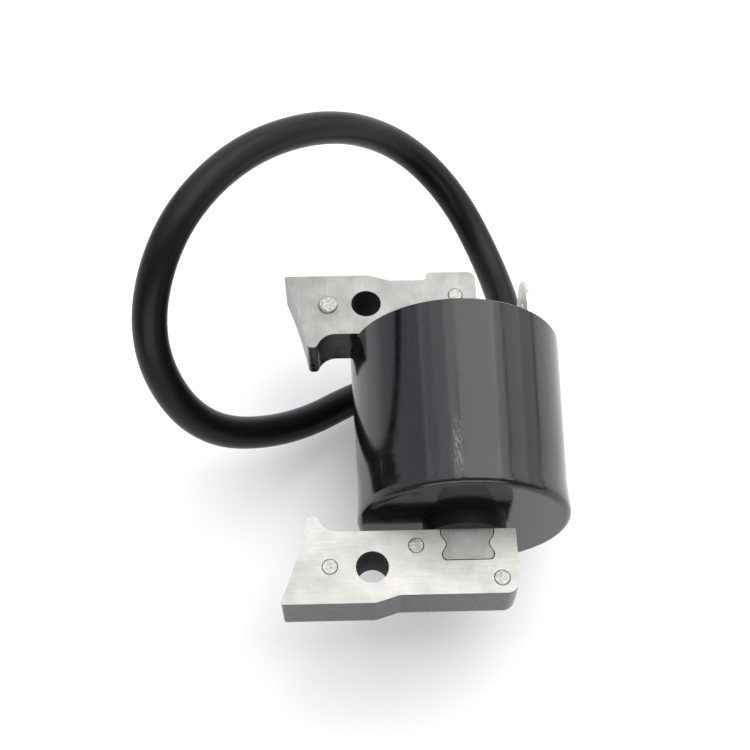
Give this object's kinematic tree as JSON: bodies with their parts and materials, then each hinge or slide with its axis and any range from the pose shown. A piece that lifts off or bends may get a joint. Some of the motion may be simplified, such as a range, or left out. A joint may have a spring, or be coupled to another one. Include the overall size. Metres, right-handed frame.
{
  "type": "ignition coil",
  "caption": "Small-engine ignition coil: riveted sheet-steel core with two pole shoes, a round moulded cup of potted windings and a looped high-tension lead.",
  "frame": {"origin": "halfway between the centres of the two mounting holes, on the face that seats on the engine", "axes": "+X away from the flywheel, +Y along the core bar and the cup's axis towards its open end, +Z normal to the sheets, out of the engine"},
  "size_m": [0.0875, 0.1111, 0.0701],
  "materials": {
    "bright_sheet_steel": "satin, punched",
    "grey_sheet_steel": "satin, scratched",
    "rivet_steel": "satin",
    "case_plastic": "glossy, moulded",
    "bobbin_plastic": "moulded",
    "copper_wire": "enamelled",
    "insulating_film": "film",
    "circuit_board": "coated",
    "component_black": "moulded",
    "component_tan": "dipped",
    "tinned_brass": "tin plated",
    "lead_rubber": "satin",
    "stranded_copper": "stranded",
    "wire_insulation": "extruded",
    "potting_resin": "cast"
  },
  "bodies": {
    "root": {"lower_pole_laminations": "bright_sheet_steel", "core_and_upper_pole_laminations": "grey_sheet_steel", "lower_arm_rivets": "rivet_steel", "upper_arm_rivets": "rivet_steel", "coil_case": "case_plastic", "primary_bobbin": "bobbin_plastic", "primary_winding": "copper_wire", "primary_insulation": "insulating_film", "secondary_bobbin": "bobbin_plastic", "secondary_winding": "copper_wire", "control_board": "circuit_board", "switching_transistor": "component_black", "trigger_capacitor": "component_tan", "board_resistors": "component_tan", "flyback_diode": "component_black", "primary_wires": "copper_wire", "kill_terminal": "tinned_brass", "ground_strap": "tinned_brass", "lead_strain_relief": "lead_rubber", "ht_lead_jacket": "lead_rubber", "ht_lead_conductor": "stranded_copper", "ht_contact": "tinned_brass", "ht_output_wire": "copper_wire", "kill_wire": "wire_insulation", "potting_resin": "potting_resin"}
  },
  "joints": []
}
